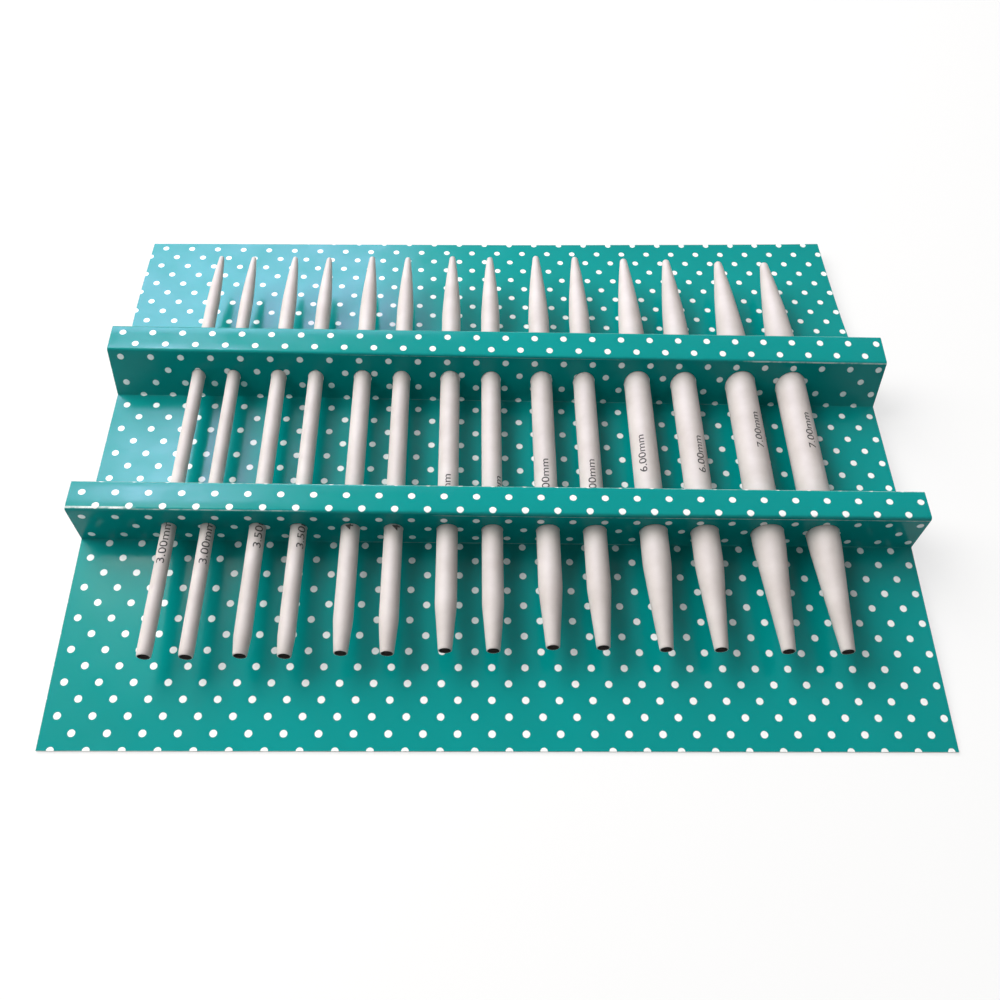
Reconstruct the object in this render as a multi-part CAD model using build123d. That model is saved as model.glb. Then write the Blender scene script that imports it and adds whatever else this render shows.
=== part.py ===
from build123d import *
import math
import os

# A knitting needle case: one sheet of printed board, scored and folded so that it stands up
# in two hollow rails, with fourteen interchangeable needle tips pushed through punched holes.
# +X is to the right, +Y runs from the socket ends to the points, +Z is up. The origin is at
# the bottom centre, and the case lies on z = 0. All sizes are in millimetres.

# board
card_width = 181.0
board = 0.45

# lengths along the printed side, from the front edge to the rear edge
front_flap_length = 45.4
middle_length = 29.2
rear_flap_length = 44.6

# the two rails: a top panel on two walls, each wall leaning by its spread
rail_height = 11.6
rail_top_width = 7.0
lower_front_spread = 0.3
lower_back_spread = 2.8
upper_front_spread = 4.0
upper_back_spread = -0.2

# the folds spring open a little, so the flaps slope down and the case stands on their edges
middle_lift = 3.0

# gap left along the score of each flap, so that it can fold
crease_gap = 0.16

# needle tips
tip_diameters = [3.0, 3.5, 4.0, 4.5, 5.0, 6.0, 7.0]
tip_letters = ["a", "b"]
tip_setbacks = [15.9, 16.2, 16.9, 17.6, 18.4, 18.1, 17.8]
tip_length = 109.5
axis_height = 5.7
gap_in_pair = 5.1
gap_between_pairs = 7.15
hole_clearance = 0.10

# socket end of a tip
socket_end_diameter = 2.8
socket_taper_slope = 6.0
socket_edge_break = 0.15
bore_diameter = 2.2
bore_depth = 9.0
drill_angle = 118.0
bore_chamfer = 0.15

# point of a tip
point_base_length = 5.0
point_length_per_diameter = 3.4
point_bulge = 0.045
point_radius_base = 0.30
point_radius_per_diameter = 0.10

os.makedirs("parts", exist_ok=True)


def depth_of(flap_length):
    """Depth of ground that a sloping flap covers."""
    return math.sqrt(flap_length**2 - middle_lift**2)


def printed_line():
    """Printed side of the folded sheet from front to back, at each edge and crease."""
    runs = [
        (depth_of(front_flap_length), middle_lift),
        (lower_front_spread, rail_height),
        (rail_top_width, 0),
        (lower_back_spread, -rail_height),
        (middle_length, 0),
        (upper_front_spread, rail_height),
        (rail_top_width, 0),
        (upper_back_spread, -rail_height),
        (depth_of(rear_flap_length), -middle_lift),
    ]
    y = -sum(dy for dy, dz in runs) / 2
    z = board * depth_of(front_flap_length) / front_flap_length
    points = [Vector(0, y, z)]
    for dy, dz in runs:
        points.append(points[-1] + Vector(0, dy, dz))
    return points


def printed_normal(start, end):
    """Unit normal of a run of the sheet, pointing out of its printed side."""
    along = (end - start).normalized()
    return Vector(0, -along.Z, along.Y)


def under_line():
    """Underside of the sheet: under each crease, the two offset faces meet in a mitre."""
    line = printed_line()
    normals = [printed_normal(start, end) for start, end in zip(line, line[1:])]
    points = [line[0] - normals[0] * board]
    for corner, first, second in zip(line[1:], normals, normals[1:]):
        middle = (first + second).normalized()
        points.append(corner - middle * (board / middle.dot(first)))
    points.append(line[-1] - normals[-1] * board)
    return points


def folded_panels():
    """One mitred plate for each panel between creases, from front to back."""
    top = printed_line()
    under = under_line()
    last = len(top) - 2
    plates = []
    for k in range(last + 1):
        front = [under[k], top[k]]
        back = [under[k + 1], top[k + 1]]
        if k == 0:
            back = [corner - Vector(0, crease_gap, 0) for corner in back]
        if k == last:
            front = [corner + Vector(0, crease_gap, 0) for corner in front]
        plates.append(plate([front[0], back[0], back[1], front[1]]))
    return plates


def plate(section):
    """A section in the YZ plane, extruded over the width of the card."""
    left = Vector(-card_width / 2, 0, 0)
    corners = [left + corner for corner in section]
    face = Face(Wire.make_polygon(corners, close=True))
    return extrude(face, amount=card_width, dir=(1, 0, 0))


def tip_places():
    """(name, diameter, plane at the socket end) of each tip, its Z along the needle.

    The gaps are even within pairs and between them, and the row is centred on the card.
    """
    widths = sum(tip_diameters) * len(tip_letters)
    gaps = len(tip_diameters) * (len(tip_letters) - 1) * gap_in_pair
    gaps += (len(tip_diameters) - 1) * gap_between_pairs
    left = -(widths + gaps) / 2
    front_edge = printed_line()[0].Y
    base = under_line()[4].Z
    places = []
    for d, setback in zip(tip_diameters, tip_setbacks):
        for letter in tip_letters:
            name = f"tip_{d:.1f}_{letter}".replace(".", "_")
            end = Vector(left + d / 2, front_edge + setback, base + axis_height)
            places.append((name, d, Plane(origin=end, x_dir=(1, 0, 0), z_dir=(0, 1, 0))))
            last_of_pair = letter == tip_letters[-1]
            left += d + (gap_between_pairs if last_of_pair else gap_in_pair)
    return places


def make_tip(d):
    """A turned needle tip: bored socket end, long taper, straight shank and rounded point."""
    taper = socket_taper_slope * (d - socket_end_diameter)
    point = point_base_length + point_length_per_diameter * d
    nose = point_radius_base + point_radius_per_diameter * d
    shoulder = tip_length - point
    end_radius = socket_end_diameter / 2

    # the full flank is two cones, from the shoulder to where the rounded nose takes over
    flank_angle = math.atan2(d / 2 - nose, point - nose)
    touch = Vector(nose * math.cos(flank_angle), tip_length - nose + nose * math.sin(flank_angle))
    start = Vector(d / 2, shoulder)
    chord = touch - start
    outward = Vector(chord.Y, -chord.X).normalized()
    belly = start + chord / 2 + outward * (point_bulge * d)
    half = (math.pi / 2 + flank_angle) / 2
    on_nose = Vector(nose * math.cos(half), tip_length - nose + nose * math.sin(half))

    with BuildPart() as tip:
        with BuildSketch(Plane.XY):
            with BuildLine():
                Line((0, 0), (end_radius - socket_edge_break, 0))
                Line((end_radius - socket_edge_break, 0), (end_radius, socket_edge_break))
                Line((end_radius, socket_edge_break), (d / 2, taper))
                Line((d / 2, taper), start)
                Line(start, belly)
                Line(belly, touch)
                ThreePointArc(touch, on_nose, (0, tip_length))
                Line((0, tip_length), (0, 0))
            make_face()
        revolve(axis=Axis.Y)
        with BuildSketch(Plane.XY):
            bore = bore_diameter / 2
            cone = bore / math.tan(math.radians(drill_angle / 2))
            with BuildLine():
                Polyline(
                    (0, 0),
                    (bore + bore_chamfer, 0),
                    (bore, bore_chamfer),
                    (bore, bore_depth),
                    (0, bore_depth + cone),
                    (0, 0),
                )
            make_face()
        revolve(axis=Axis.Y, mode=Mode.SUBTRACT)
    return Rotation(90, 0, 0) * tip.part


def punch(wall):
    """Cut the round holes that the tips pass through."""
    for name, d, end in tip_places():
        drill = Cylinder(d / 2 + hole_clearance, tip_length, align=(Align.CENTER, Align.CENTER, Align.MIN))
        wall = wall - end.location * drill
    return wall


def write(name, shape):
    """One STEP file for each piece."""
    export_step(shape, os.path.join("parts", name + ".step"))
    box = shape.bounding_box()
    size = f"{box.size.X:.2f} x {box.size.Y:.2f} x {box.size.Z:.2f}"
    print(f"{name}: {size} mm, {shape.volume:.1f} mm3")


panel_names = [
    "front_flap",
    "lower_rail_front_wall",
    "lower_rail_top",
    "lower_rail_back_wall",
    "middle_panel",
    "upper_rail_front_wall",
    "upper_rail_top",
    "upper_rail_back_wall",
    "rear_flap",
]

for name, panel in zip(panel_names, folded_panels()):
    if name.endswith("wall"):
        panel = punch(panel)
    write(name, panel)

for name, d, end in tip_places():
    write(name, end.location * make_tip(d))

under = under_line()
for flap, crease in (("front", under[1]), ("rear", under[-2])):
    print(f"{flap} flap turns about y = {crease.Y:.3f}, z = {crease.Z:.3f}")
for name, d, end in tip_places():
    print(f"{name}: socket end at x = {end.origin.X:.3f}, y = {end.origin.Y:.3f}, z = {end.origin.Z:.3f}")
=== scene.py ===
import bisect
import math
import bpy
import bmesh
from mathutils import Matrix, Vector, noise
from mathutils.geometry import delaunay_2d_cdt


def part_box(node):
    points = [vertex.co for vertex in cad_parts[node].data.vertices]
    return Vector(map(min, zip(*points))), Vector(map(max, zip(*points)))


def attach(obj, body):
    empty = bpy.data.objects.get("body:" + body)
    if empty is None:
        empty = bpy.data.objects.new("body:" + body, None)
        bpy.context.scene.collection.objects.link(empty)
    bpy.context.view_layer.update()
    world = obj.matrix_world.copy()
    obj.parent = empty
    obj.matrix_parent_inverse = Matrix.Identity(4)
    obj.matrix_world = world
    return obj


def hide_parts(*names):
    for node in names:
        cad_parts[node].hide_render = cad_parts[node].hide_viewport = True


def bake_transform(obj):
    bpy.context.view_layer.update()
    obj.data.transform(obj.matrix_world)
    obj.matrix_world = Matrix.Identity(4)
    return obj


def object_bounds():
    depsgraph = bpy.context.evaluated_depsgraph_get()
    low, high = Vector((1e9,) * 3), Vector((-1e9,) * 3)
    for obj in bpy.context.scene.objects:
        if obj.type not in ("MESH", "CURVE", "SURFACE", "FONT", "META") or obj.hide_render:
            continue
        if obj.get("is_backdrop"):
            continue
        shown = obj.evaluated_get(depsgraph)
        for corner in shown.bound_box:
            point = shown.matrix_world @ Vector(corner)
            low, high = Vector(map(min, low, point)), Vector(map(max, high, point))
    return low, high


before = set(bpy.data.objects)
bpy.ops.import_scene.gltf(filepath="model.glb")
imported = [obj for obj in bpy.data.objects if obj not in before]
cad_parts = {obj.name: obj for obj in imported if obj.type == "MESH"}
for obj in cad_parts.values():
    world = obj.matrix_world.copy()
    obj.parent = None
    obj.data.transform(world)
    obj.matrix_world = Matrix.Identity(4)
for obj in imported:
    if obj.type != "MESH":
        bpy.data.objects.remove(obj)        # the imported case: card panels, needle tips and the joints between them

mm = 0.001
cadLow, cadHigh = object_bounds()
print("frame loaded, box in mm:", [round(side / mm, 1) for side in cadHigh - cadLow])


# shared by every piece

def paint(hexCode):
    channels = [int(hexCode[k:k + 2], 16) / 255 for k in (1, 3, 5)]
    linear = [c / 12.92 if c <= 0.04045 else ((c + 0.055) / 1.055) ** 2.4 for c in channels]
    return (*linear, 1.0)


def addNode(tree, kind, settings=None, links=None):
    node = tree.nodes.new(kind)
    for name, value in (settings or {}).items():
        setattr(node, name, value)
    for socket, value in (links or {}).items():
        if isinstance(value, bpy.types.NodeSocket):
            tree.links.new(value, node.inputs[socket])
        else:
            node.inputs[socket].default_value = value
    return node


def newMaterial(name):
    material = bpy.data.materials.new(name)
    material.use_nodes = True
    tree = material.node_tree
    tree.nodes.clear()
    surface = addNode(tree, "ShaderNodeBsdfPrincipled")
    output = addNode(tree, "ShaderNodeOutputMaterial", None, {"Surface": surface.outputs["BSDF"]})
    return material, tree, surface, output


def newPiece(name, vertices, faces, materials, slots=None):
    mesh = bpy.data.meshes.new(name)
    mesh.from_pydata(vertices, [], faces)
    for material in materials:
        mesh.materials.append(material)
    if slots:
        mesh.polygons.foreach_set("material_index", slots)
    piece = bpy.data.objects.new(name, mesh)
    bpy.context.scene.collection.objects.link(piece)
    return piece


def blendBetween(low, high, share):
    return low + (high - low) * share


# camera, where the photographer stood

cameraSettings = {
    "placeMm": (-9.86, -131.30, 188.38),
    "turnDeg": (32.493, -2.392, 0.697),   # tilt up from straight down, lean, roll
    "lensMm": 35.26,
    "sensorMm": 36.0,
    "nearestMm": 10.0,        # nothing closer to the lens is drawn
}


def makeCamera(settings):
    lens = bpy.data.cameras.new("camera")
    lens.lens = settings["lensMm"]
    lens.sensor_width = settings["sensorMm"]
    lens.clip_start = settings["nearestMm"] * mm
    camera = bpy.data.objects.new("camera", lens)
    camera.location = Vector(settings["placeMm"]) * mm
    camera.rotation_mode = "ZYX"
    camera.rotation_euler = [math.radians(turn) for turn in settings["turnDeg"]]
    bpy.context.scene.collection.objects.link(camera)
    bpy.context.scene.camera = camera


makeCamera(cameraSettings)
print("camera placed")


# the card: one sheet of printed board, punched flat and then folded

card = {
    "columnMm": 2.4,          # widest step of the mesh across the card
    "rowMm": 2.4,             # widest step along the sheet
    "bendRadiusMm": 0.45,     # at the middle of the board, where it is scored
    "bendSteps": 6,
    "holeSlackMm": 0.07,      # a punched hole is a little wider than its needle
    "holeSides": 44,
    "holeClearMm": 0.9,       # no mesh points of the flat sheet this close to a hole
    "punchedWithin": 0.995,   # of a hole's radius squared: triangles centred within this are punched out
    "sharpDeg": 40,           # edges of the mesh that turn by more than this are shaded sharp
    "waveMm": 0.10,           # how far the board strays from flat
    "waveLengthMm": 46.0,
    "waveLayers": [
        # length across and along and height, as shares of those above, and a place in the noise
        (1.0, 0.7, 1.0, 3.1),
        (0.3, 0.25, 0.22, 8.7),
    ],
    "trimMm": 2.0,            # the rear flap was cut short at its left corner
    "curlUpMm": 3.0,          # its right corner stands up by this
    "curlInMm": 1.6,          # and is drawn to the left by this
    "curlPower": 2.4,         # and stays low under the points, so that the flap can fold up to them
    "askewMm": 0.8,           # the whole flap was creased a little askew, to the left
    "cutAskewMm": 0.7,        # and its sides were cut so too, through the dots on the right
    "leanPower": 4,           # the higher, the closer to the crease the flap has all of its lean
    "topWiderMm": 1.0,        # the upper rail's top widens to the right, and its rear crease rises
    "topRiseMm": 0.4,
    "topLeftShare": 0.25,     # how much of that shows at the left end
}

frontNodes = ["front_flap", "lower_rail_front_wall", "lower_rail_top", "lower_rail_back_wall"]
rearNodes = ["middle_panel", "upper_rail_front_wall", "upper_rail_top", "upper_rail_back_wall", "rear_flap"]
panelNodes = frontNodes + rearNodes         # in their order along the sheet
upperTop = panelNodes.index("upper_rail_top")
upperBack = panelNodes.index("upper_rail_back_wall")
rearFlap = panelNodes.index("rear_flap")
tipNodes = sorted(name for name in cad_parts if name.startswith("tip_"))
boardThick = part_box("middle_panel")[1].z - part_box("middle_panel")[0].z
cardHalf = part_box("middle_panel")[1].x
sameSpot = 0.01 * mm          # corners closer than this are one
sameLength = 1e-9             # metres along the blank that only rounding makes


def sectionCorners(node):
    # the corners of a panel's section, as seen at its left end
    corners = []
    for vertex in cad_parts[node].data.vertices:
        corner = Vector((vertex.co.y, vertex.co.z))
        known = any((corner - other).length < sameSpot for other in corners)
        if vertex.co.x < -cardHalf + sameSpot and not known:
            corners.append(corner)
    return corners


def commonCorners(one, other, shared=True):
    # the corners of one panel that also belong to the other, or else those that don't
    others = sectionCorners(other)
    return [corner for corner in sectionCorners(one)
            if any((corner - near).length < sameSpot for near in others) == shared]


def fromFront(corner):
    return corner.x         # a section's corner holds y and z


def creasePairs():
    # top and bottom corner of the sheet at its front edge, at each crease and at its rear edge
    pairs = [sorted(sectionCorners(panelNodes[0]), key=fromFront)[:2]]
    pairs.append(commonCorners(panelNodes[1], panelNodes[2], shared=False))
    pairs += [commonCorners(one, other) for one, other in zip(panelNodes[1:], panelNodes[2:-1])]
    pairs.append(commonCorners(panelNodes[-2], panelNodes[-3], shared=False))
    pairs.append(sorted(sectionCorners(panelNodes[-1]), key=fromFront)[-2:])
    return pairs


def turned(direction):
    return Vector((-direction.y, direction.x))      # towards the printed side


def rotated(direction, turn):
    c, s = math.cos(turn), math.sin(turn)
    return Vector((direction.x * c - direction.y * s, direction.x * s + direction.y * c))


class FoldedSheet:
    # gives the place in the folded case of any point of the flat blank

    def __init__(self, pairs):
        self.middle = [(a + b) / 2 for a, b in pairs]
        middle = self.middle
        ways = [(b - a).normalized() for a, b in zip(middle, middle[1:])]
        printed = [max(pair, key=lambda corner: (corner - centre).dot(turned(way)))
                   for pair, centre, way in zip(pairs, middle, ways + ways[-1:])]
        self.reach = [0.0]      # length of printed sheet up to each crease
        for a, b in zip(printed, printed[1:]):
            self.reach.append(self.reach[-1] + (b - a).length)
        radius = card["bendRadiusMm"] * mm
        self.pieces = []        # start and end along the blank, and a function of the share between
        start, begin = self.reach[0], middle[0]
        for k, corner in enumerate(middle[1:-1], 1):
            before, after = ways[k - 1], ways[k]
            angle = math.atan2(before.x * after.y - before.y * after.x, before.dot(after))
            take = radius * math.tan(abs(angle) / 2)
            end = corner - before * take
            self.addStraight(start, self.reach[k] - take, begin, end, before)
            side = turned(before) * (1 if angle > 0 else -1)
            self.addBend(self.reach[k] - take, self.reach[k] + take,
                         end + side * radius, -side * radius, angle, before)
            start, begin = self.reach[k] + take, corner + after * take
        self.addStraight(start, self.reach[-1], begin, middle[-1], ways[-1])
        self.starts = [piece[0] for piece in self.pieces]
        self.ways = ways

    def addStraight(self, start, end, a, b, way):
        self.pieces.append((start, end, lambda share: (a.lerp(b, share), turned(way)), False))

    def addBend(self, start, end, centre, arm, angle, way):
        def place(share):
            return centre + rotated(arm, angle * share), turned(rotated(way, angle * share))
        self.pieces.append((start, end, place, True))

    def at(self, along):
        # the middle of the board there, and which way its printed side faces
        k = max(0, bisect.bisect_right(self.starts, along + sameLength) - 1)
        start, end, place, bent = self.pieces[k]
        return place(min(1.0, (along - start) / (end - start)))

    def rows(self, first, last):
        # mesh rows between two creases of the blank: even on the flat, close in the bends
        found = [first]
        for start, end, place, bent in self.pieces:
            if end <= first + sameLength or start >= last - sameLength:
                continue
            low, high = max(start, first), min(end, last)
            steps = card["bendSteps"] if bent else max(1, math.ceil((high - low) / (card["rowMm"] * mm)))
            found += [blendBetween(low, high, (k + 1) / steps) for k in range(steps)]
        return found


sheet = FoldedSheet(creasePairs())
tips = {}
for tipName in tipNodes:
    low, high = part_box(tipName)
    tips[tipName] = {
        "radius": (high.x - low.x) / 2,
        "x": (high.x + low.x) / 2,
        "z": (high.z + low.z) / 2,
        "start": low.y,
        "length": high.y - low.y,
    }


def wave(across, along):
    # slow unevenness of a board that was scored, folded and handled
    scale = card["waveLengthMm"] * mm
    height = 0.0
    for wide, long, share, layer in card["waveLayers"]:
        height += share * noise.noise(Vector((across / (wide * scale), along / (long * scale), layer)))
    return height * card["waveMm"] * mm


def shareOfPanel(panel, along):
    # from 0 at a panel's first crease to 1 at its second
    start, end = sheet.reach[panel:panel + 2]
    return min(1.0, max(0.0, (along - start) / (end - start)))


def towardsRearCorner(across, along, side):
    # from 0 at the rear flap's crease to 1 at its rear corner, on the right (1) or the left (-1)
    return (shareOfPanel(rearFlap, along) * max(0.0, 1 + side * across / cardHalf) / 2) ** card["curlPower"]


def leanOfFlap(along):
    # from 0 at the rear flap's crease to 1 at its rear edge, most of it near the crease
    return 1 - (1 - shareOfPanel(rearFlap, along)) ** card["leanPower"]


def handFold(across, along):
    # the upper rail's top was creased a little askew, and the rear flap lies further back
    toTheRight = blendBetween(card["topLeftShare"], 1.0, (1 + across / cardHalf) / 2)
    raised = toTheRight * shareOfPanel(upperTop, along) * (1 - shareOfPanel(upperBack, along))
    pushed = raised + toTheRight * leanOfFlap(along)
    # the rear flap leans to the left, and its right corner curls up
    curl = towardsRearCorner(across, along, 1)
    return Vector((
        -card["curlInMm"] * curl - card["askewMm"] * leanOfFlap(along),
        card["topWiderMm"] * pushed,
        card["curlUpMm"] * curl + card["topRiseMm"] * raised,
    )) * mm


def placeOnCase(across, along, height):
    # where a point of the blank comes to lie, at a height over the middle of the board
    (y, z), (ny, nz) = sheet.at(along)
    stray = wave(across, along)
    flat = max(0.0, nz)
    stray = stray * (1 - flat) + abs(stray) * flat      # the flaps lift off the table, never sink
    height += stray
    return Vector((across, y + ny * height, z + nz * height)) + handFold(across, along)


def wallHoles():
    # each punched hole as centre across, centre along, half width and half length on the blank
    holes = []
    for k, node in enumerate(panelNodes):
        if not node.endswith("wall"):
            continue
        a, b = sheet.middle[k], sheet.middle[k + 1]
        stretch = (b - a).length / abs(b.y - a.y)
        for tip in tips.values():
            along = blendBetween(sheet.reach[k], sheet.reach[k + 1], (tip["z"] - a.y) / (b.y - a.y))
            radius = tip["radius"] + card["holeSlackMm"] * mm
            holes.append((tip["x"], along, radius, radius * stretch))
    return holes


def cutByHand(across, along):
    # the rear flap's left corner was cut short, and its sides were cut a little askew; this comes
    # after the triangles are made, because they bridge every hollow in an outline
    lean = card["cutAskewMm"] * mm * leanOfFlap(along)
    trim = card["trimMm"] * mm * towardsRearCorner(across, along, -1)
    return across - lean, along - trim


wholeOutline = 0        # asks Blender for triangles over the whole convex outline of the points
closestMm = 1e-5        # points of the blank closer than this are one


def cutBlank(first, last):
    # the flat sheet between two creases, in triangles, with its holes punched out
    columns = math.ceil(2 * cardHalf / (card["columnMm"] * mm))
    rows = sheet.rows(first, last)
    holes = [hole for hole in wallHoles() if first < hole[1] < last]
    clear = card["holeClearMm"] * mm
    points = []
    for along in rows:
        for c in range(columns + 1):
            across = blendBetween(-cardHalf, cardHalf, c / columns)
            inside = any(
                ((across - x) / (rx + clear)) ** 2 + ((along - y) / (ry + clear)) ** 2 < 1
                for x, y, rx, ry in holes
            )
            if not inside:
                points.append((across, along))
    edges = []
    for x, y, rx, ry in holes:
        base = len(points)
        for k in range(card["holeSides"]):
            turn = 2 * math.pi * k / card["holeSides"]
            points.append((x + rx * math.cos(turn), y + ry * math.sin(turn)))
            edges.append((base + k, base + (k + 1) % card["holeSides"]))
    scaled = [Vector((x / mm, y / mm)) for x, y in points]
    made = delaunay_2d_cdt(scaled, edges, [], wholeOutline, closestMm)
    flat = [(corner.x * mm, corner.y * mm) for corner in made[0]]
    triangles = []
    for face in made[2]:
        across = sum(flat[k][0] for k in face) / 3
        along = sum(flat[k][1] for k in face) / 3
        punched = any(
            ((across - x) / rx) ** 2 + ((along - y) / ry) ** 2 < card["punchedWithin"]
            for x, y, rx, ry in holes
        )
        if not punched:
            triangles.append(tuple(face))
    return [cutByHand(across, along) for across, along in flat], triangles


def makeCardPiece(name, first, last, nodes, materials):
    flat, triangles = cutBlank(first, last)
    count = len(flat)
    half = boardThick / 2
    vertices = [placeOnCase(u, v, half) for u, v in flat]
    vertices += [placeOnCase(u, v, -half) for u, v in flat]
    uses = {}
    for a, b, c in triangles:
        for edge in ((a, b), (b, c), (c, a)):
            uses[edge] = uses.get(edge, 0) + 1
    faces = list(triangles)
    faces += [(c + count, b + count, a + count) for a, b, c in triangles]
    rim = [edge for edge in uses if (edge[1], edge[0]) not in uses]
    faces += [(b, a, a + count, b + count) for a, b in rim]
    slots = [0] * len(triangles) + [1] * (len(triangles) + len(rim))
    piece = newPiece(name, vertices, faces, materials, slots)
    blank = piece.data.uv_layers.new(name="blank")
    for loop in piece.data.loops:
        u, v = flat[loop.vertex_index % count]
        blank.data[loop.index].uv = ((u + cardHalf) / mm, v / mm)      # millimetres on the flat blank
    piece.data.shade_smooth()
    piece.data.set_sharp_from_angle(angle=math.radians(card["sharpDeg"]))
    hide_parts(*nodes)
    return piece


def foldAt(piece):
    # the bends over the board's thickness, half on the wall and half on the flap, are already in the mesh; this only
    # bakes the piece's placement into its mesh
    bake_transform(piece)


printedBoard = {
    "ink": "#009594",
    "inkDeep": "#008481",
    "dot": "#F6FAFA",
    "dotPitchMm": 6.8,          # between dots of one row; rows are half of that apart
    "dotRadiusMm": 0.74,
    "dotSoftMm": 0.05,          # the edge of a dot fades and strays by this, inwards and outwards
    "dotEdgePerMm": 2.2,        # how often it strays
    "firstDotMm": 0.6,          # from the middle of the card, on the row at the front edge
    "bareRows": (15, 33),       # rows that lack two dots each, on the rails' front walls
    "bareAcrossMm": (-84.4, 78.8),
    "bareRadiusMm": 1.5,        # wide enough to clear one dot and no neighbour
    "mottlePerMm": 0.035,
    "bareBoard": "#EAF1F0",
    "cracks": [
        # crease, mm before it on the blank, from and to in mm across, width, strength
        (2, -0.42, -94, -76, 0.4, 1.0),
        (2, -0.1, -80, -40, 0.16, 0.5),
        (2, 0.7, -16, 40, 0.16, 0.3),
        (2, 0.7, 30, 94, 0.2, 0.5),
        (1, 0.0, -36, 30, 0.16, 0.35),
        (5, 0.0, -30, 60, 0.14, 0.2),
        (6, 0.1, 56, 94, 0.24, 0.6),
        (6, 0.3, -40, 30, 0.12, 0.15),
        (3, 0.0, -94, 94, 0.16, 0.35),
        (7, 0.0, -94, 94, 0.14, 0.3),
    ],
    "crackFadeMm": 4.0,         # at both ends of a crack
    "crackPerMm": 0.5,
    "crackStray": 0.5,          # of its width
    "crackLevels": (0.36, 0.56),        # of the noise, from the least strength to the full one
    "crackLeast": 0.25,
    "filmRoughness": 0.19,
    "filmUneven": (-0.05, 0.07),
    "filmRubPerMm": 0.12,
    "filmRubLevels": (0.3, 0.7),
    "filmGloss": 0.13,
    "filmIor": 1.5,
    "grainPerMm": 1.3,
    "grainStrength": 0.08,
    "grainDeepMm": 0.05,
}


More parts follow.
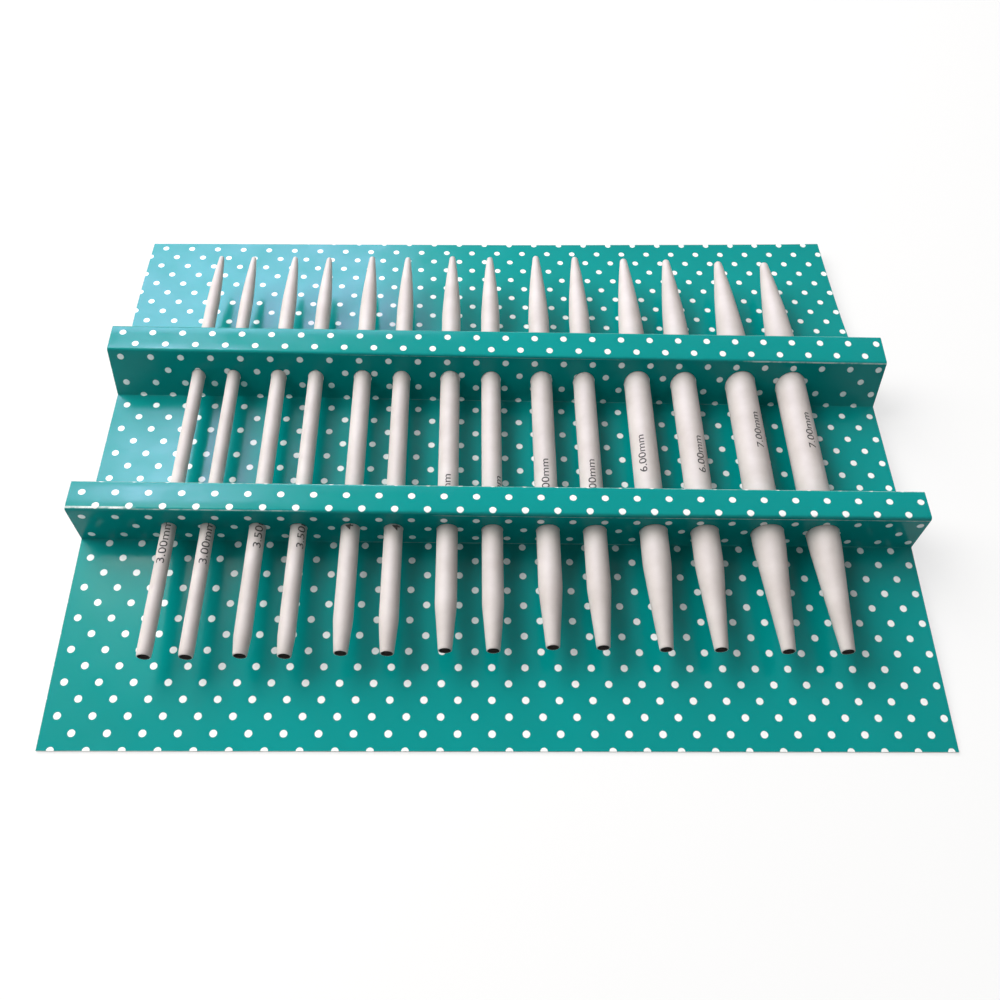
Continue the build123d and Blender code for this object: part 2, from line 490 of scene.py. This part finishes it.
def makePrintedBoard(settings):
    # offset ink under a gloss film on white folding board: a clean sheen over flat colour
    material, tree, surface, output = newMaterial("filmLaminatedBoard")
    blank = addNode(tree, "ShaderNodeUVMap", {"uv_map": "blank"}).outputs["UV"]
    pitch = settings["dotPitchMm"]
    shift = (-(cardHalf / mm + settings["firstDotMm"]), 0.0, 0.0)
    moved = addNode(tree, "ShaderNodeVectorMath", {"operation": "ADD"}, {0: blank, 1: shift})
    cell = math.sqrt(2) / pitch
    lattice = addNode(tree, "ShaderNodeMapping", None, {
        "Vector": moved.outputs[0], "Rotation": (0, 0, math.pi / 4)})
    cells = addNode(tree, "ShaderNodeVectorMath", {"operation": "SCALE"}, {
        0: lattice.outputs[0], "Scale": cell})
    centred = addNode(tree, "ShaderNodeVectorMath", {"operation": "ADD"}, {
        0: cells.outputs[0], 1: (0.5, 0.5, 0)})
    share = addNode(tree, "ShaderNodeVectorMath", {"operation": "FRACTION"}, {0: centred.outputs[0]})
    off = addNode(tree, "ShaderNodeVectorMath", {"operation": "SUBTRACT"}, {
        0: share.outputs[0], 1: (0.5, 0.5, 0)})
    away = addNode(tree, "ShaderNodeVectorMath", {"operation": "LENGTH"}, {0: off.outputs[0]})
    raggedDot = addNode(tree, "ShaderNodeTexNoise", None, {
        "Vector": blank, "Scale": settings["dotEdgePerMm"], "Detail": 3.0})
    edge = addNode(tree, "ShaderNodeMath", {"operation": "MULTIPLY_ADD"}, {
        0: raggedDot.outputs["Fac"], 1: 2 * settings["dotSoftMm"] * cell, 2: away.outputs["Value"]})
    size = (settings["dotRadiusMm"] + settings["dotSoftMm"]) * cell
    soft = settings["dotSoftMm"] * cell
    dots = addNode(tree, "ShaderNodeMapRange", None, {
        "Value": edge.outputs[0], "From Min": size - soft, "From Max": size + soft,
        "To Min": 1.0, "To Max": 0.0})

    # two dots are left out of one row on each rail's front wall
    parts = addNode(tree, "ShaderNodeSeparateXYZ", None, {0: blank})
    bare = None
    for row in settings["bareRows"]:
        for across in settings["bareAcrossMm"]:
            place = (across + cardHalf / mm, row * pitch / 2, 0)
            gap = addNode(tree, "ShaderNodeVectorMath", {"operation": "DISTANCE"}, {0: blank, 1: place})
            near = addNode(tree, "ShaderNodeMath", {"operation": "LESS_THAN"}, {
                0: gap.outputs["Value"], 1: settings["bareRadiusMm"]})
            if bare:
                near = addNode(tree, "ShaderNodeMath", {"operation": "MAXIMUM"}, {
                    0: near.outputs[0], 1: bare})
            bare = near.outputs[0]
    dots = addNode(tree, "ShaderNodeMath", {"operation": "SUBTRACT", "use_clamp": True}, {
        0: dots.outputs["Result"], 1: bare})

    # ink laid a touch uneven, as offset print is
    mottle = addNode(tree, "ShaderNodeTexNoise", None, {
        "Vector": blank, "Scale": settings["mottlePerMm"], "Detail": 4.0})
    ink = addNode(tree, "ShaderNodeMix", {"data_type": "RGBA"}, {
        0: mottle.outputs["Fac"], 6: paint(settings["inkDeep"]), 7: paint(settings["ink"])})
    printed = addNode(tree, "ShaderNodeMix", {"data_type": "RGBA"}, {
        0: dots.outputs[0], 6: ink.outputs[2], 7: paint(settings["dot"])})

    # where a score line has cracked the ink, the white board shows through in a thin line
    raggedCrack = addNode(tree, "ShaderNodeTexNoise", None, {
        "Vector": blank, "Scale": settings["crackPerMm"], "Detail": 5.0, "Roughness": 0.6})
    cracks = None
    fade = settings["crackFadeMm"]
    for crease, below, start, end, wide, strength in settings["cracks"]:
        line = sheet.reach[crease] / mm - below
        stray = addNode(tree, "ShaderNodeMath", {"operation": "MULTIPLY_ADD"}, {
            0: raggedCrack.outputs["Fac"], 1: settings["crackStray"] * wide, 2: parts.outputs["Y"]})
        near = addNode(tree, "ShaderNodeMath", {"operation": "COMPARE"}, {
            0: stray.outputs[0], 1: line, 2: wide / 2})
        first = addNode(tree, "ShaderNodeMapRange", None, {
            "Value": parts.outputs["X"],
            "From Min": start + cardHalf / mm, "From Max": start + fade + cardHalf / mm})
        last = addNode(tree, "ShaderNodeMapRange", None, {
            "Value": parts.outputs["X"],
            "From Min": end - fade + cardHalf / mm, "From Max": end + cardHalf / mm,
            "To Min": strength, "To Max": 0.0})
        part = addNode(tree, "ShaderNodeMath", {"operation": "MULTIPLY"}, {
            0: near.outputs[0], 1: first.outputs[0]})
        part = addNode(tree, "ShaderNodeMath", {"operation": "MULTIPLY"}, {
            0: part.outputs[0], 1: last.outputs[0]})
        if cracks:
            part = addNode(tree, "ShaderNodeMath", {"operation": "MAXIMUM"}, {
                0: part.outputs[0], 1: cracks})
        cracks = part.outputs[0]
    weak, strong = settings["crackLevels"]
    patches = addNode(tree, "ShaderNodeMapRange", None, {
        "Value": raggedCrack.outputs["Fac"], "From Min": weak, "From Max": strong,
        "To Min": settings["crackLeast"], "To Max": 1.0})
    worn = addNode(tree, "ShaderNodeMath", {"operation": "MULTIPLY", "use_clamp": True}, {
        0: cracks, 1: patches.outputs[0]})
    coloured = addNode(tree, "ShaderNodeMix", {"data_type": "RGBA"}, {
        0: worn.outputs[0], 6: printed.outputs[2], 7: paint(settings["bareBoard"])})
    tree.links.new(coloured.outputs[2], surface.inputs["Base Color"])

    # handling leaves the film a little uneven, so the sheen breaks up softly
    rub = addNode(tree, "ShaderNodeTexNoise", None, {
        "Vector": blank, "Scale": settings["filmRubPerMm"], "Detail": 5.0})
    little, much = settings["filmRubLevels"]
    smoother, rougher = settings["filmUneven"]
    rough = addNode(tree, "ShaderNodeMapRange", None, {
        "Value": rub.outputs["Fac"], "From Min": little, "From Max": much,
        "To Min": settings["filmRoughness"] + smoother, "To Max": settings["filmRoughness"] + rougher})
    tree.links.new(rough.outputs[0], surface.inputs["Roughness"])
    surface.inputs["IOR"].default_value = settings["filmIor"]
    surface.inputs["Specular IOR Level"].default_value = settings["filmGloss"]
    grain = addNode(tree, "ShaderNodeTexNoise", None, {
        "Vector": blank, "Scale": settings["grainPerMm"], "Detail": 3.0})
    bump = addNode(tree, "ShaderNodeBump", None, {
        "Height": grain.outputs["Fac"], "Strength": settings["grainStrength"],
        "Distance": settings["grainDeepMm"] * mm})
    tree.links.new(bump.outputs[0], surface.inputs["Normal"])
    return material


boardBack = {
    "pulp": "#D9D7D2",
    "pulpDark": "#C3C0B9",
    "fibreMm": 0.25,
    "fibreShare": 0.6,          # of the fibres in the speckle, against the broader clouds
    "cloudPerM": 90.0,
    "levels": (0.5, 1.1),       # of the speckle, from dark to light pulp
    "roughness": 0.85,
    "fibreStrength": 0.25,
    "fibreDeepMm": 0.05,
}


def makeBoardBack(settings):
    # the unprinted side and the cut edges of folding board: pale grey pulp, quite matt
    material, tree, surface, output = newMaterial("uncoatedFoldingBoard")
    place = addNode(tree, "ShaderNodeTexCoord").outputs["Object"]
    fibre = addNode(tree, "ShaderNodeTexNoise", None, {
        "Vector": place, "Scale": 1 / (settings["fibreMm"] * mm), "Detail": 5.0, "Roughness": 0.65})
    cloud = addNode(tree, "ShaderNodeTexNoise", None, {
        "Vector": place, "Scale": settings["cloudPerM"], "Detail": 3.0})
    both = addNode(tree, "ShaderNodeMath", {"operation": "MULTIPLY_ADD"}, {
        0: fibre.outputs["Fac"], 1: settings["fibreShare"], 2: cloud.outputs["Fac"]})
    dark, light = settings["levels"]
    share = addNode(tree, "ShaderNodeMapRange", None, {
        "Value": both.outputs[0], "From Min": dark, "From Max": light})
    colour = addNode(tree, "ShaderNodeMix", {"data_type": "RGBA"}, {
        0: share.outputs[0], 6: paint(settings["pulpDark"]), 7: paint(settings["pulp"])})
    tree.links.new(colour.outputs[2], surface.inputs["Base Color"])
    surface.inputs["Roughness"].default_value = settings["roughness"]
    bump = addNode(tree, "ShaderNodeBump", None, {
        "Height": fibre.outputs["Fac"], "Strength": settings["fibreStrength"],
        "Distance": settings["fibreDeepMm"] * mm})
    tree.links.new(bump.outputs[0], surface.inputs["Normal"])
    return material


boardFaces = [makePrintedBoard(printedBoard), makeBoardBack(boardBack)]
seam = sheet.reach[len(frontNodes)]
cardFront = makeCardPiece("cardFrontSheet", 0.0, seam, frontNodes, boardFaces)
cardRear = makeCardPiece("cardRearSheet", seam, sheet.reach[-1], rearNodes, boardFaces)
foldAt(cardFront)
foldAt(cardRear)
print("card folded:", len(cardFront.data.polygons) + len(cardRear.data.polygons), "faces")


# the needle tips, turned from aluminium

tipShape = {
    "sides": 64,
    "endMm": 2.8,               # across the socket end
    "endBreakMm": 0.15,
    "taperPerMm": 6.0,          # length of the socket taper for each mm that the shank is wider
    "pointMm": 5.0,
    "pointPerMm": 3.4,
    "noseMm": 0.30,
    "nosePerMm": 0.10,
    "bulge": 0.045,
    "boreMm": 2.2,
    "boreDeepMm": 9.0,
    "threadPitchMm": 0.45,
    "threadDeepMm": 0.12,
    "threadTurns": 10,
    "threadStartMm": 0.15,      # in from the mouth of the socket
    "mouthBreakMm": 0.12,
    "drillCone": 0.6,           # depth of the cone at the bore's end, as a share of its radius
    "blendShare": 0.08,         # of the taper, rounded over on both sides of its ridge
    "blendSteps": 5,
    "flankSteps": 14,
    "noseSteps": 6,
    "stepsPerTurn": 6,          # of the thread
    "sharpDeg": 50,
}


def tipOutline(radius, length, shape):
    # points (along, out) from the mouth of the socket round to the point
    end = shape["endMm"] * mm / 2
    cut = shape["endBreakMm"] * mm
    wide = 2 * radius / mm
    taper = shape["taperPerMm"] * (wide - shape["endMm"]) * mm
    point = (shape["pointMm"] + shape["pointPerMm"] * wide) * mm
    nose = (shape["noseMm"] + shape["nosePerMm"] * wide) * mm
    flank = math.atan2(radius - nose, point - nose)
    touch = Vector((length - nose + nose * math.sin(flank), nose * math.cos(flank)))
    outline = [(0.0, end - cut), (0.4 * cut, end - 0.3 * cut), (cut, end)]      # a slightly round edge
    soft = shape["blendShare"] * taper
    for k in range(shape["blendSteps"]):        # the taper runs into the shank without a ridge
        share = k / (shape["blendSteps"] - 1)
        along = taper - soft + 2 * soft * share
        slope = (radius - end) / (taper - cut)
        drop = slope * soft * (1 - share) ** 2
        outline.append((along, radius - drop))
    shoulder = Vector((length - point, radius))
    for k in range(shape["flankSteps"] + 1):
        share = k / shape["flankSteps"]
        straight = shoulder.lerp(touch, share)
        belly = 4 * share * (1 - share) * shape["bulge"] * 2 * radius
        outline.append((straight.x, straight.y + belly))
    for k in range(1, shape["noseSteps"] + 1):
        turn = blendBetween(flank, math.pi / 2, k / shape["noseSteps"])
        outline.append((length - nose + nose * math.sin(turn), nose * math.cos(turn)))
    return outline


def makeTipMesh(name, tip, shape, materials):
    sides = shape["sides"]
    bore = shape["boreMm"] * mm / 2
    deep = shape["boreDeepMm"] * mm
    pitch = shape["threadPitchMm"] * mm
    groove = shape["threadDeepMm"] * mm
    mouth = shape["mouthBreakMm"] * mm
    # rings from the end of the bore out of its mouth and round to the point: how far along, the
    # radius, and how far the thread narrows it there
    rings = [(deep, bore, 0.0)]
    threadEnd = shape["threadTurns"] * pitch
    steps = shape["threadTurns"] * shape["stepsPerTurn"]
    for k in range(steps, 0, -1):
        along = threadEnd * k / steps + shape["threadStartMm"] * mm
        fade = min(1.0, k / shape["stepsPerTurn"])
        rings.append((along, bore, groove * fade))
    rings.append((mouth, bore, 0.0))
    rings.append((0.0, bore + mouth, 0.0))
    rings += [(along, out, 0.0) for along, out in tipOutline(tip["radius"], tip["length"], shape)]
    boreRings = 2 + steps
    vertices = [(tip["x"], tip["start"] + deep + shape["drillCone"] * bore, tip["z"])]
    for along, radius, cut in rings[:-1]:
        for k in range(sides):
            turn = 2 * math.pi * k / sides
            r = radius - cut * (0.5 + 0.5 * math.cos(2 * math.pi * along / pitch - turn))
            vertices.append((tip["x"] + r * math.sin(turn), tip["start"] + along,
                             tip["z"] + r * math.cos(turn)))
    vertices.append((tip["x"], tip["start"] + tip["length"], tip["z"]))
    faces, slots = [], []       # slot 1 is the bare metal of the bore
    for k in range(sides):
        n = (k + 1) % sides
        faces.append((0, 1 + n, 1 + k))
        slots.append(1)
    for ring in range(len(rings) - 2):
        base = 1 + ring * sides
        for k in range(sides):
            n = (k + 1) % sides
            faces.append((base + k, base + n, base + sides + n, base + sides + k))
            slots.append(1 if ring < boreRings else 0)
    base = 1 + (len(rings) - 2) * sides
    last = len(vertices) - 1
    for k in range(sides):
        n = (k + 1) % sides
        faces.append((base + k, base + n, last))
        slots.append(0)
    piece = newPiece(name, vertices, faces, materials, slots)
    piece.data.shade_smooth()
    piece.data.set_sharp_from_angle(angle=math.radians(shape["sharpDeg"]))
    return piece


pearlAluminium = {
    "colour": "#CAC3C0",
    "colourDeep": "#BCB4B0",
    "metallic": 0.1,
    "roughness": 0.65,
    "roughnessUneven": 0.05,
    "gloss": 0.3,
    "blastMm": 0.12,            # grain of the blasted skin under the anodising, drawn coarse enough to show
    "blastShare": 0.35,         # of that grain in the colour, against the broader clouds
    "cloudPerM": 160.0,
    "levels": (0.45, 0.9),      # from the deeper colour to the lighter
    "blastStrength": 0.18,
    "blastDeepMm": 0.02,
}


def makePearlAluminium(settings):
    # bead-blasted aluminium, anodised pearl grey: soft silky light with no sharp glint
    material, tree, surface, output = newMaterial("pearlAnodisedAluminium")
    place = addNode(tree, "ShaderNodeTexCoord").outputs["Object"]
    grain = addNode(tree, "ShaderNodeTexNoise", None, {
        "Vector": place, "Scale": 1 / (settings["blastMm"] * mm), "Detail": 3.0})
    cloud = addNode(tree, "ShaderNodeTexNoise", None, {
        "Vector": place, "Scale": settings["cloudPerM"], "Detail": 3.0})
    both = addNode(tree, "ShaderNodeMath", {"operation": "MULTIPLY_ADD"}, {
        0: grain.outputs["Fac"], 1: settings["blastShare"], 2: cloud.outputs["Fac"]})
    deeper, lighter = settings["levels"]
    share = addNode(tree, "ShaderNodeMapRange", None, {
        "Value": both.outputs[0], "From Min": deeper, "From Max": lighter})
    colour = addNode(tree, "ShaderNodeMix", {"data_type": "RGBA"}, {
        0: share.outputs[0], 6: paint(settings["colourDeep"]), 7: paint(settings["colour"])})
    tree.links.new(colour.outputs[2], surface.inputs["Base Color"])
    surface.inputs["Metallic"].default_value = settings["metallic"]
    surface.inputs["Specular IOR Level"].default_value = settings["gloss"]
    uneven = settings["roughnessUneven"]
    rough = addNode(tree, "ShaderNodeMapRange", None, {
        "Value": grain.outputs["Fac"],
        "To Min": settings["roughness"] - uneven, "To Max": settings["roughness"] + uneven})
    tree.links.new(rough.outputs[0], surface.inputs["Roughness"])
    bump = addNode(tree, "ShaderNodeBump", None, {
        "Height": grain.outputs["Fac"], "Strength": settings["blastStrength"],
        "Distance": settings["blastDeepMm"] * mm})
    tree.links.new(bump.outputs[0], surface.inputs["Normal"])
    return material


boreShadeAluminium = {
    # painted shade: both colours are a dark grey that stands for the shade deep inside the bore
    "colour": "#4A4542",
    "deeperPaintedShade": "#2A2624",
    "metallic": 0.9,
    "roughness": 0.55,
    "swirlMm": 0.2,
}


def makeBoreShadeAluminium(settings):
    # the tapped socket: bare cut metal, with the shade deep in the bore painted into its colour as a dark grey,
    # swirled at random
    material, tree, surface, output = newMaterial("tappedAluminiumPaintedShade")
    place = addNode(tree, "ShaderNodeTexCoord").outputs["Object"]
    swirl = addNode(tree, "ShaderNodeTexNoise", None, {
        "Vector": place, "Scale": 1 / (settings["swirlMm"] * mm), "Detail": 2.0})
    colour = addNode(tree, "ShaderNodeMix", {"data_type": "RGBA"}, {
        0: swirl.outputs["Fac"], 6: paint(settings["deeperPaintedShade"]), 7: paint(settings["colour"])})
    tree.links.new(colour.outputs[2], surface.inputs["Base Color"])
    surface.inputs["Metallic"].default_value = settings["metallic"]
    surface.inputs["Roughness"].default_value = settings["roughness"]
    return material


tipMaterials = [makePearlAluminium(pearlAluminium), makeBoreShadeAluminium(boreShadeAluminium)]
for tipName, tip in tips.items():
    piece = makeTipMesh("needle" + tipName[3:], tip, tipShape, tipMaterials)
    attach(piece, tipName)
    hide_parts(tipName)
print("tips turned:", len(tips))


# gauge marks, printed along each shank

gaugeMark = {
    "capMm": 1.7,
    "longMm": 10.0,
    "startMm": 20.1,            # from the socket end, on the thinnest tip
    "startPerMm": 7.0,          # further in for each mm that a tip is thicker
    "thinnestMm": 3.0,
    "inkMm": 0.012,
    "sunkShare": 0.35,          # of the ink's thickness, under the surface, so that none of it hangs clear
    "sliceMm": 0.12,            # strips that follow the round shank
    "boldness": 0.005,          # how far the letters' outlines are spread, in letter sizes
    "turnsDeg": [0, -22, -24, -34, 2, -20, 7, -36, 7, 3, 25, -14, -16, -12],
    "ink": "#2F2B29",
    "worn": "#5E5955",
    "wearPerM": 2600.0,
    "wearLevels": (0.45, 0.8),
    "roughness": 0.6,
}


def makeMarkInk(settings):
    # pad-printed epoxy ink: thin, dark grey and matt, worn thin here and there
    material, tree, surface, output = newMaterial("padPrintInk")
    place = addNode(tree, "ShaderNodeTexCoord").outputs["Object"]
    wear = addNode(tree, "ShaderNodeTexNoise", None, {
        "Vector": place, "Scale": settings["wearPerM"], "Detail": 3.0})
    whole, thin = settings["wearLevels"]
    share = addNode(tree, "ShaderNodeMapRange", None, {
        "Value": wear.outputs["Fac"], "From Min": whole, "From Max": thin})
    colour = addNode(tree, "ShaderNodeMix", {"data_type": "RGBA"}, {
        0: share.outputs[0], 6: paint(settings["ink"]), 7: paint(settings["worn"])})
    tree.links.new(colour.outputs[2], surface.inputs["Base Color"])
    surface.inputs["Roughness"].default_value = settings["roughness"]
    return material


def makeMark(name, tip, turnDeg, settings, material):
    text = bpy.data.curves.new(name, "FONT")
    text.body = f"{2 * tip['radius'] / mm:.2f}mm"
    text.size = 1.0
    text.offset = settings["boldness"]
    flatMark = bpy.data.objects.new(name, text)
    bpy.context.scene.collection.objects.link(flatMark)
    bpy.context.view_layer.update()
    mesh = bpy.data.meshes.new_from_object(flatMark.evaluated_get(bpy.context.evaluated_depsgraph_get()))
    bpy.data.objects.remove(flatMark)
    work = bmesh.new()
    work.from_mesh(mesh)
    xs = [v.co.x for v in work.verts]
    ys = [v.co.y for v in work.verts]
    low, high = min(ys), max(ys)
    stretchX = settings["longMm"] / (max(xs) - min(xs))
    stretchY = settings["capMm"] / (high - low)
    for v in work.verts:
        v.co = ((v.co.x - min(xs)) * stretchX, (v.co.y - (low + high) / 2) * stretchY, 0)
    slices = math.ceil(settings["capMm"] / settings["sliceMm"])
    for k in range(1, slices):      # fine strips, so that the print can follow the round shank
        level = blendBetween(-settings["capMm"] / 2, settings["capMm"] / 2, k / slices)
        geometry = work.verts[:] + work.edges[:] + work.faces[:]
        bmesh.ops.bisect_plane(work, geom=geometry, dist=1e-6, plane_co=(0, level, 0), plane_no=(0, 1, 0))
    bmesh.ops.remove_doubles(work, verts=work.verts[:], dist=1e-5)
    raised = bmesh.ops.extrude_face_region(work, geom=work.faces[:])
    for part in raised["geom"]:
        if isinstance(part, bmesh.types.BMVert):
            part.co.z = 1.0
    bmesh.ops.recalc_face_normals(work, faces=work.faces[:])
    wide = 2 * tip["radius"] / mm
    thicker = wide - settings["thinnestMm"]
    start = tip["start"] + (settings["startMm"] + settings["startPerMm"] * thicker) * mm
    thick = settings["inkMm"] * mm
    for v in work.verts:
        r = tip["radius"] + (v.co.z - settings["sunkShare"]) * thick
        turn = math.radians(turnDeg) + v.co.y * mm / tip["radius"]
        v.co = (tip["x"] - r * math.sin(turn), start + v.co.x * mm, tip["z"] + r * math.cos(turn))
    work.to_mesh(mesh)
    work.free()
    mesh.materials.clear()
    mesh.materials.append(material)
    mark = bpy.data.objects.new(name, mesh)
    bpy.context.scene.collection.objects.link(mark)
    return mark


markInk = makeMarkInk(gaugeMark)
for turnDeg, (tipName, tip) in zip(gaugeMark["turnsDeg"], tips.items()):
    mark = makeMark("gaugeMark" + tipName[3:], tip, turnDeg, gaugeMark, markInk)
    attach(mark, tipName)
print("gauge marks printed")


# floor and light: a white sweep under a soft studio sky

studio = {
    "floor": "#F2F2F2",
    "floorGlowShare": 0.72,     # how much of the ground is plain white when looked at, so shadows stay pale
    "sweepMm": (300, 900),      # between these distances it turns wholly white
    "floorHalfM": 3.0,
    "floorDropMm": 0.03,        # under the case, so that the two never share a plane
    "floorRoughness": 0.9,
    "skyLight": 0.2,
    "lamps": [
        # name, degrees left of straight behind, degrees up, metres away, size in m, watts, colour,
        # and whether it shows in gloss alone (True) or lights alone (False)
        ("softbox", 56, 43, 0.80, (0.90, 0.60), 12.6, "#FFFDFA", False),
        ("window", 20, 37, 1.0, (0.40, 0.24), 6.5, "#C6CAFF", True),
        ("wallAbove", 35, 52, 1.0, (0.18, 0.13), 2.9, "#CCD2FF", True),
        ("wallCorner", 47, 61, 1.0, (0.16, 0.08), 0.9, "#DDEAE2", True),
    ],
}


def addSeenShare(tree):
    # 1 where the ground or sky is looked at, straight or in gloss or glass, and 0 where it only lights
    path = addNode(tree, "ShaderNodeLightPath")
    seen = path.outputs["Is Camera Ray"]
    for ray in ("Is Glossy Ray", "Is Transmission Ray"):
        either = addNode(tree, "ShaderNodeMath", {"operation": "MAXIMUM"}, {0: seen, 1: path.outputs[ray]})
        seen = either.outputs[0]
    return seen


def makeFloor(settings):
    size = settings["floorHalfM"]
    low = cadLow.z - settings["floorDropMm"] * mm
    corners = [(-size, -size, low), (size, -size, low), (size, size, low), (-size, size, low)]
    material, tree, surface, output = newMaterial("whiteSweep")
    surface.inputs["Base Color"].default_value = paint(settings["floor"])
    surface.inputs["Roughness"].default_value = settings["floorRoughness"]
    away = addNode(tree, "ShaderNodeVectorMath", {"operation": "LENGTH"}, {
        0: addNode(tree, "ShaderNodeTexCoord").outputs["Object"]})
    near, far = settings["sweepMm"]
    white = addNode(tree, "ShaderNodeMapRange", None, {
        "Value": away.outputs["Value"], "From Min": near * mm, "From Max": far * mm,
        "To Min": settings["floorGlowShare"], "To Max": 1.0})
    share = addNode(tree, "ShaderNodeMath", {"operation": "MULTIPLY"}, {
        0: addSeenShare(tree), 1: white.outputs[0]})
    glow = addNode(tree, "ShaderNodeEmission", None, {"Color": (1, 1, 1, 1), "Strength": 1.0})
    both = addNode(tree, "ShaderNodeMixShader", None, {
        0: share.outputs[0], 1: surface.outputs[0], 2: glow.outputs[0]})
    tree.links.new(both.outputs[0], output.inputs["Surface"])
    floor = newPiece("floor", corners, [(0, 1, 2, 3)], [material])
    floor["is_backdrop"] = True


def makeSky(settings):
    world = bpy.data.worlds.new("studioSky")
    bpy.context.scene.world = world
    world.use_nodes = True
    tree = world.node_tree
    tree.nodes.clear()
    seen = addNode(tree, "ShaderNodeMapRange", None, {
        "Value": addSeenShare(tree), "To Min": settings["skyLight"], "To Max": 1.0})
    sky = addNode(tree, "ShaderNodeBackground", None, {"Color": (1, 1, 1, 1), "Strength": seen.outputs[0]})
    addNode(tree, "ShaderNodeOutputWorld", None, {"Surface": sky.outputs[0]})


def makeLamps(settings):
    for name, left, up, away, size, watts, colour, mirrored in settings["lamps"]:
        left, up = math.radians(left), math.radians(up)
        place = Vector((-math.sin(left) * math.cos(up), math.cos(left) * math.cos(up), math.sin(up))) * away
        lamp = bpy.data.lights.new(name, "AREA")
        lamp.shape = "RECTANGLE"
        lamp.size, lamp.size_y = size
        lamp.energy = watts
        lamp.color = paint(colour)[:3]
        holder = bpy.data.objects.new(name, lamp)
        holder.location = place
        holder.visible_glossy = mirrored
        holder.visible_diffuse = not mirrored
        holder.rotation_mode = "QUATERNION"
        holder.rotation_quaternion = (-place).to_track_quat("-Z", "Y")
        bpy.context.scene.collection.objects.link(holder)


makeFloor(studio)
makeSky(studio)
makeLamps(studio)
bpy.context.scene.view_settings.view_transform = "Standard"
print("studio lit")

low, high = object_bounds()
print("visual box in mm:", [round(side / mm, 1) for side in high - low])
